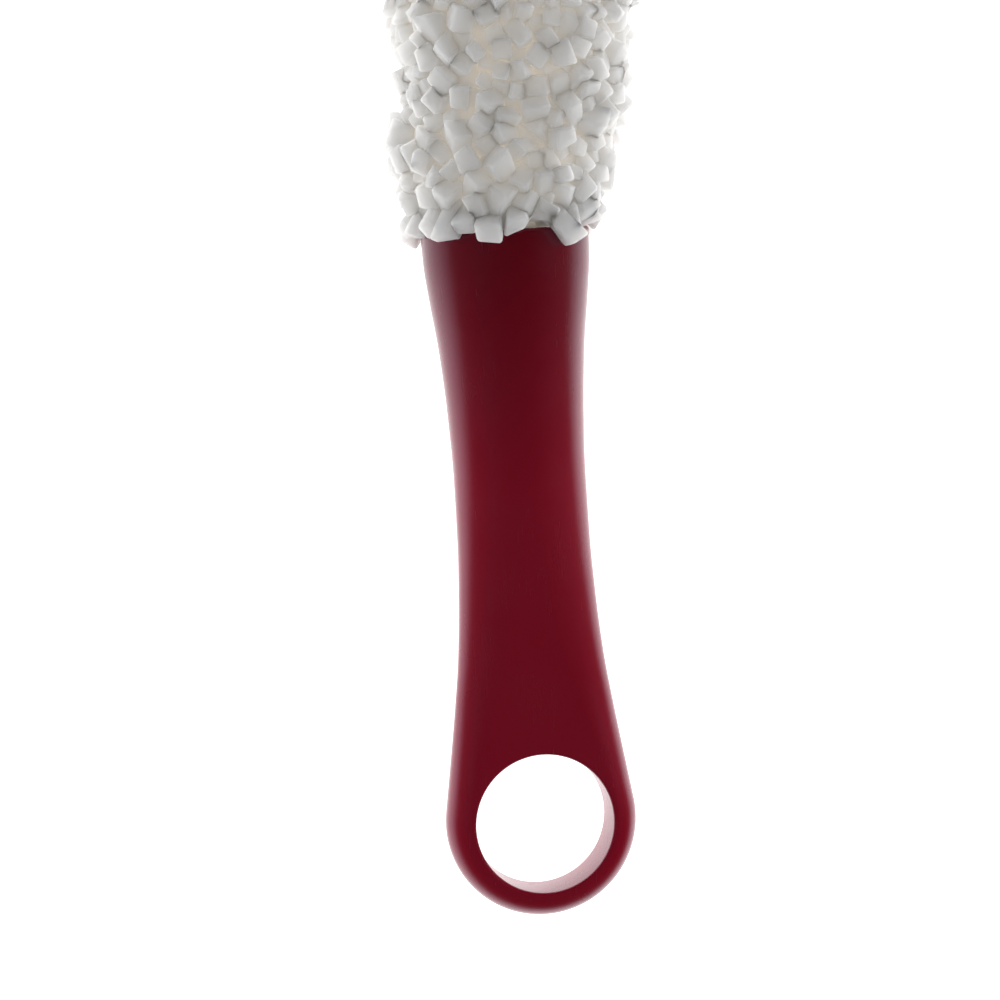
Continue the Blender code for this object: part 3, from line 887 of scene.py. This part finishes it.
def strip_points(rng, controls, thin, half_sizes, slants):
    """Points of every strip, ring by ring from the root, and the middle of its end: (strips, points, 3)."""
    count = len(controls)
    parameters, centres = centre_lines(controls)
    tangents = unit(np.gradient(centres, axis=1))
    tangents[:, -1] = unit(controls[:, -1] - controls[:, -2])
    steps = len(parameters)
    ups = np.empty_like(centres)
    up = thin
    for k in reversed(range(steps)):
        up = unit(up - tangents[:, k] * (up * tangents[:, k]).sum(1, keepdims=True))
        ups[:, k] = up
    sides = np.cross(ups, tangents)
    across, upward = outline_template(half_sizes)
    skew = rng.uniform(-SKEW, SKEW, (2, count, 1))
    across, upward = across * (1 + skew[0] * upward), upward * (1 + skew[1] * across)
    cut = rng.normal(0, CUT_SPREAD, (2, count, 1))
    slope = np.clip((cut[0] + slants[:, None]) * across + cut[1] * upward, -CUT_DEPTH, CUT_DEPTH)
    scales = np.interp(parameters, *zip(*STRIP_SCALES))

    rings = []

    def add_ring(k, forward, scale, inset):
        shrink_x = scale - inset / half_sizes[:, :1]
        shrink_y = scale - inset / half_sizes[:, 1:]
        rings.append(
            centres[:, k, None]
            + sides[:, k, None] * (across * shrink_x)[..., None]
            + ups[:, k, None] * (upward * shrink_y)[..., None]
            + tangents[:, k, None] * np.broadcast_to(forward, across.shape)[..., None]
        )

    for k in range(steps - 1):
        into_cut = max(parameters[k] - CUT_START, 0.0) / (len(CURVE_STEPS) - CUT_START)
        add_ring(k, slope * into_cut, scales[k], 0.0)
    for turn in END_FILLET_TURNS:
        inset = END_FILLET * (1 - math.cos(turn))
        add_ring(-1, slope - END_FILLET * (1 - math.sin(turn)), 1.0, inset)
    add_ring(-1, slope * CAP_SCALE + CAP_RISE, CAP_SCALE, 0.0)
    caps = centres[:, -1] + tangents[:, -1] * CAP_MIDDLE_RISE
    points = np.stack(rings, 1)
    return np.concatenate([points.reshape(count, -1, 3), caps[:, None]], 1), len(rings)


def strip_faces(strips, rings):
    """Faces of strips whose points are laid out ring by ring, each followed by its end's middle."""
    points_round = 4 * CORNER_POINTS
    per_strip = rings * points_round + 1
    k = np.arange(points_round)
    n = (k + 1) % points_round
    quads = []
    for ring in range(rings - 1):
        near, far = ring * points_round, (ring + 1) * points_round
        quads.append(np.stack([near + k, near + n, far + n, far + k], 1))
    quads = np.concatenate(quads)
    last = (rings - 1) * points_round
    end = np.stack([last + k, last + n, np.full(points_round, per_strip - 1)], 1)
    faces = []
    for strip in range(strips):
        base = strip * per_strip
        faces += (quads + base).tolist()
        faces += (end + base).tolist()
        faces.append((base + k[::-1]).tolist())
    return faces


def make_foam(material):
    """One piece for each tier, of the strips that its half turn of wire grips."""
    rng = np.random.default_rng(SEED)
    rim_turn, rim, rim_thin, rim_sizes, rim_slants = rim_chains()
    rim_distance = np.full(len(rim), RIM_ROOT_DISTANCE)
    distances, turns, chains = zip(*(seat_chains(rng, *layer) for layer in LAYERS))
    distance = np.concatenate([rim_distance, *distances])
    turn = np.concatenate([rim_turn, *turns])
    chains = np.concatenate([rim, *chains])
    fixed = np.arange(len(chains)) < len(rim)
    chains = relax(chains, fixed)
    forward = unit(chains[:, 0] - chains[:, 1])
    thin, half_sizes = fit_neighbours(rng, chains[:, 0], forward)
    thin[fixed], half_sizes[fixed] = rim_thin, rim_sizes
    ends = chains[:, 0] + forward * CHAIN_DEPTHS[0]
    places = np.array([*TIER_PLACES, HEAD_LENGTH - TIP_DEPTH])
    tier = np.abs(distance[:, None] - places).argmin(1)
    count = len(chains)
    root_places = places[tier] + rng.uniform(-ROOT_SHAKE, ROOT_SHAKE, count)
    root_turns = turn + rng.uniform(-ROOT_TURN_SHAKE, ROOT_TURN_SHAKE, count)
    roots = on_head(root_places, np.full(count, ROOT_RADIUS), root_turns)
    controls = np.stack([roots, chains[:, 2], chains[:, 1], chains[:, 0], ends], 1)
    slants = np.concatenate([rim_slants, np.zeros(count - len(rim))])
    points, rings = strip_points(rng, controls, thin, half_sizes, slants)
    points = push_off_handle(clear_notch(points), 0.0)
    points[..., 2] = np.maximum(points[..., 2], FLOOR_HEIGHT + FLOOR_CLEARANCE)
    for index, node in enumerate([*TIERS, "foam_tip"]):
        chosen = points[tier == index]
        name = node.replace("foam_tier", "foam_strips").replace("foam_tip", "foam_strips_tip")
        flat = chosen.reshape(-1, 3)
        piece = add_mesh(name, flat, strip_faces(len(chosen), rings))
        # Painted shade near the rim: the depth that drives the painted glow and warm colour shrinks to
        # nothing there.
        past_rim = np.clip((flat[:, 1] + RIM_SHADE_START) / RIM_SHADE_LENGTH, 0.0, 1.0)
        depth = -above_outline(flat)[0] * past_rim
        attribute = piece.data.attributes.new("depth", "FLOAT", "POINT")
        attribute.data.foreach_set("value", depth.astype(np.float32))
        finish_piece(piece, material, node)


# ---- materials

def new_material(name, colour, roughness):
    material = bpy.data.materials.new(name)
    material.use_nodes = True
    shader = material.node_tree.nodes["Principled BSDF"]
    shader.inputs["Base Color"].default_value = (*colour, 1.0)
    shader.inputs["Roughness"].default_value = roughness
    return material, shader


def add_node(material, kind, **inputs):
    node = material.node_tree.nodes.new(kind)
    for name, value in inputs.items():
        node.inputs[name.replace("_", " ")].default_value = value
    return node


def link(material, source, target):
    material.node_tree.links.new(source, target)


def noise(material, scale, detail, roughness=0.5, stretch=(1.0, 1.0, 1.0)):
    """Noise with scale features per metre, drawn out along an axis whose stretch is small."""
    place = add_node(material, "ShaderNodeTexCoord")
    stretched = add_node(material, "ShaderNodeVectorMath")
    stretched.operation = "MULTIPLY"
    stretched.inputs[1].default_value = stretch
    link(material, place.outputs["Object"], stretched.inputs[0])
    texture = add_node(material, "ShaderNodeTexNoise", Scale=scale, Detail=detail, Roughness=roughness)
    link(material, stretched.outputs["Vector"], texture.inputs["Vector"])
    return texture.outputs["Fac"]


def bump(material, shader, height, distance):
    node = add_node(material, "ShaderNodeBump", Distance=distance)
    link(material, height, node.inputs["Height"])
    link(material, node.outputs["Normal"], shader.inputs["Normal"])


def map_range(material, value, reach, result):
    """A value that goes over reach, from low to high, made to go over result."""
    limits = {"From_Min": reach[0], "From_Max": reach[1], "To_Min": result[0], "To_Max": result[1]}
    node = add_node(material, "ShaderNodeMapRange", **limits)
    link(material, value, node.inputs["Value"])
    return node.outputs["Result"]


def mix_colours(material, share, colour, other):
    """A blend of two colours. Sockets 6 and 7 are the Mix node's colours."""
    mix = add_node(material, "ShaderNodeMix")
    mix.data_type = "RGBA"
    link(material, share, mix.inputs["Factor"])
    mix.inputs[6].default_value = (*colour, 1.0)
    mix.inputs[7].default_value = (*other, 1.0)
    return mix.outputs[2]


def burgundy_plastic():
    """Glossy plastic, with painted shade that makes it darker near the mouth."""
    material, shader = new_material("burgundy_plastic", PLASTIC_COLOUR, 0.25)
    place = add_node(material, "ShaderNodeTexCoord")
    split = add_node(material, "ShaderNodeSeparateXYZ")
    link(material, place.outputs["Object"], split.inputs["Vector"])
    # Painted shade: the colour darkens towards the mouth.
    shade_from = ORIGIN.y - MOUTH_SHADE_LENGTH * MM
    mouth_shade = map_range(material, split.outputs["Y"], (shade_from, ORIGIN.y), (0.0, 1.0))
    colour = mix_colours(material, mouth_shade, PLASTIC_COLOUR, MOUTH_SHADE_COLOUR)
    link(material, colour, shader.inputs["Base Color"])
    shader.inputs["Specular Tint"].default_value = (1.0, 0.68, 1.0, 1.0)
    cloudy = noise(material, 60.0, 4.0)
    smooth = map_range(material, cloudy, NOISE_REACH, (0.22, 0.28))
    rubbed = noise(material, 900.0, 2.0, stretch=RUB_STRETCH)
    marks = map_range(material, rubbed, (0.55, 0.75), (0.0, RUB_ROUGHNESS))
    both = add_node(material, "ShaderNodeMath")
    link(material, smooth, both.inputs[0])
    link(material, marks, both.inputs[1])
    link(material, both.outputs["Value"], shader.inputs["Roughness"])
    bump(material, shader, noise(material, 240.0, 1.0), 0.00001)
    return material


def natural_plastic():
    """The plug's undyed moulding, cloudy where it cooled unevenly."""
    material, shader = new_material("natural_plastic", (0.62, 0.6, 0.56), 0.45)
    cloudy = noise(material, 150.0, 4.0)
    link(material, map_range(material, cloudy, NOISE_REACH, (0.36, 0.54)), shader.inputs["Roughness"])
    colour = mix_colours(material, cloudy, (0.56, 0.54, 0.5), (0.68, 0.66, 0.62))
    link(material, colour, shader.inputs["Base Color"])
    bump(material, shader, noise(material, 1800.0, 2.0), 0.00002)
    return material


def drawn_steel():
    """Galvanised wire, with the die's fine scratches and dull patches."""
    material, shader = new_material("drawn_steel", (0.6, 0.61, 0.62), 0.35)
    shader.inputs["Metallic"].default_value = 1.0
    patches = noise(material, 420.0, 5.0, 0.6)
    link(material, map_range(material, patches, NOISE_REACH, (0.24, 0.5)), shader.inputs["Roughness"])
    colour = mix_colours(material, patches, (0.45, 0.46, 0.47), (0.68, 0.69, 0.7))
    link(material, colour, shader.inputs["Base Color"])
    bump(material, shader, noise(material, 5000.0, 2.0), 0.00001)
    return material


def white_foam():
    """Closed-cell foam that light goes right through, with a painted glow and a painted warm colour deep in
    the gaps, so that the gaps between strips are never black.
    """
    material, shader = new_material("white_foam", FOAM_COLOUR, 0.85)
    shader.inputs["Subsurface Weight"].default_value = 1.0
    shader.inputs["Subsurface Radius"].default_value = (1.0, 0.95, 0.9)
    shader.inputs["Subsurface Scale"].default_value = 0.012
    shader.inputs["Specular IOR Level"].default_value = 0.2
    depth = add_node(material, "ShaderNodeAttribute")
    depth.attribute_name = "depth"
    # Painted warm light in the gaps between strips, growing with depth.
    gap_light = map_range(material, depth.outputs["Fac"], GAP_LIGHT_DEPTHS, (0.0, 1.0))
    colour = mix_colours(material, gap_light, FOAM_COLOUR, PAINTED_GAP_LIGHT_COLOUR)
    link(material, colour, shader.inputs["Base Color"])
    # Painted glow, growing with depth, stands in for light passing through the foam from the bright table.
    shader.inputs["Emission Color"].default_value = FOAM_GLOW_COLOUR
    glow = map_range(material, depth.outputs["Fac"], GLOW_DEPTHS, (0.0, FOAM_GLOW))
    link(material, glow, shader.inputs["Emission Strength"])
    bump(material, shader, noise(material, 2600.0, 2.0), 0.00004)
    return material


# ---- floor, light and camera

def mirrored_share(tree, value, mirrored):
    """The value that the camera and matt surfaces see, or else the one that gloss mirrors."""
    rays = tree.nodes.new("ShaderNodeLightPath")
    mix = tree.nodes.new("ShaderNodeMix")
    tree.links.new(rays.outputs["Is Glossy Ray"], mix.inputs["Factor"])
    tree.links.new(value, mix.inputs["A"])
    tree.links.new(mirrored, mix.inputs["B"])
    return mix.outputs["Result"]


def ramp_node(tree, value, stops):
    """Grey levels at positions from 0 to 1."""
    ramp = tree.nodes.new("ShaderNodeValToRGB")
    tree.links.new(value, ramp.inputs["Fac"])
    elements = ramp.color_ramp.elements
    while len(elements) < len(stops):
        elements.new(0.5)
    for element, (position, level) in zip(elements, stops):
        element.position = position
        element.color = (level, level, level, 1.0)
    return ramp.outputs["Color"]


def make_floor():
    """A white table, lit from within round the brush."""
    size = FLOOR_HALF_SIZE
    corners = [(-size, -size, 0), (size, -size, 0), (size, size, 0), (-size, size, 0)]
    mesh = bpy.data.meshes.new("floor")
    mesh.from_pydata(corners, [], [(0, 1, 2, 3)])
    floor = bpy.data.objects.new("floor", mesh)
    bpy.context.scene.collection.objects.link(floor)
    material, shader = new_material("white_floor", (0.8, 0.8, 0.8), 0.9)
    place = add_node(material, "ShaderNodeTexCoord")
    length = add_node(material, "ShaderNodeVectorMath")
    length.operation = "LENGTH"
    link(material, place.outputs["Object"], length.inputs[0])
    shader.inputs["Emission Color"].default_value = (1.0, 1.0, 1.0, 1.0)
    glow = map_range(material, length.outputs["Value"], FLOOR_GLOW_REACH, FLOOR_GLOW)
    reach = add_node(material, "ShaderNodeVectorMath")
    reach.operation = "DISTANCE"
    reach.inputs[1].default_value = FLOOR_MIRROR_CENTRE
    link(material, place.outputs["Object"], reach.inputs[0])
    share = ramp_node(material.node_tree, reach.outputs["Value"], FLOOR_MIRROR)
    mirrored = map_range(material, share, (0.0, 1.0), (0.0, FLOOR_MIRROR_LEVEL))
    link(material, mirrored_share(material.node_tree, glow, mirrored), shader.inputs["Emission Strength"])
    floor.data.materials.append(material)


def make_world():
    """A dim room, with its white walls only showing low down."""
    world = bpy.data.worlds.new("room")
    bpy.context.scene.world = world
    world.use_nodes = True
    tree = world.node_tree
    place = tree.nodes.new("ShaderNodeTexCoord")
    split = tree.nodes.new("ShaderNodeSeparateXYZ")
    tree.links.new(place.outputs["Generated"], split.inputs["Vector"])
    seen = ramp_node(tree, split.outputs["Z"], ROOM)
    mirrored = ramp_node(tree, split.outputs["Z"], ROOM_MIRROR)
    background = tree.nodes["Background"]
    background.inputs["Color"].default_value = (1.0, 1.0, 1.0, 1.0)
    tree.links.new(mirrored_share(tree, seen, mirrored), background.inputs["Strength"])


def make_light(name, place, target, size, power):
    light = bpy.data.lights.new(name, "AREA")
    light.shape = "RECTANGLE"
    light.size, light.size_y = size
    light.energy = power
    obj = bpy.data.objects.new(name, light)
    obj.location = place
    obj.rotation_euler = (Vector(target) - Vector(place)).to_track_quat("-Z", "Y").to_euler()
    obj.visible_glossy = False
    bpy.context.scene.collection.objects.link(obj)


def make_lights():
    """Soft boxes that gloss doesn't mirror, so that it shows the dark room and the white table."""
    for name, place, size, power in LIGHTS:
        make_light(name, ORIGIN + Vector(place), ORIGIN + LIGHTS_TARGET, size, power)


def make_camera():
    towards = Vector((-math.tan(CAMERA_TO_LEFT), math.tan(CAMERA_TOWARDS_HEAD), 1.0)).normalized()
    up = (Vector((0, 1, 0)) - towards * towards.y).normalized()
    right = up.cross(towards)
    cos, sin = math.cos(CAMERA_ROLL), math.sin(CAMERA_ROLL)
    image_right, image_up = right * cos + up * sin, up * cos - right * sin
    place = TO_WORLD @ (CAMERA_TARGET + towards * CAMERA_DISTANCE)
    data = bpy.data.cameras.new("camera")
    data.sensor_width = SENSOR
    data.lens = SENSOR * CAMERA_DISTANCE / CAMERA_FRAME
    camera = bpy.data.objects.new("camera", data)
    turn = Matrix((image_right, image_up, towards)).transposed().to_4x4()
    camera.matrix_world = Matrix.Translation(place) @ turn
    bpy.context.scene.collection.objects.link(camera)
    bpy.context.scene.camera = camera


make_camera()
make_floor()
make_world()
make_lights()
make_handle(burgundy_plastic())
make_plug(natural_plastic())
make_wire(drawn_steel())
make_foam(white_foam())
bpy.context.scene.view_settings.view_transform = "Standard"
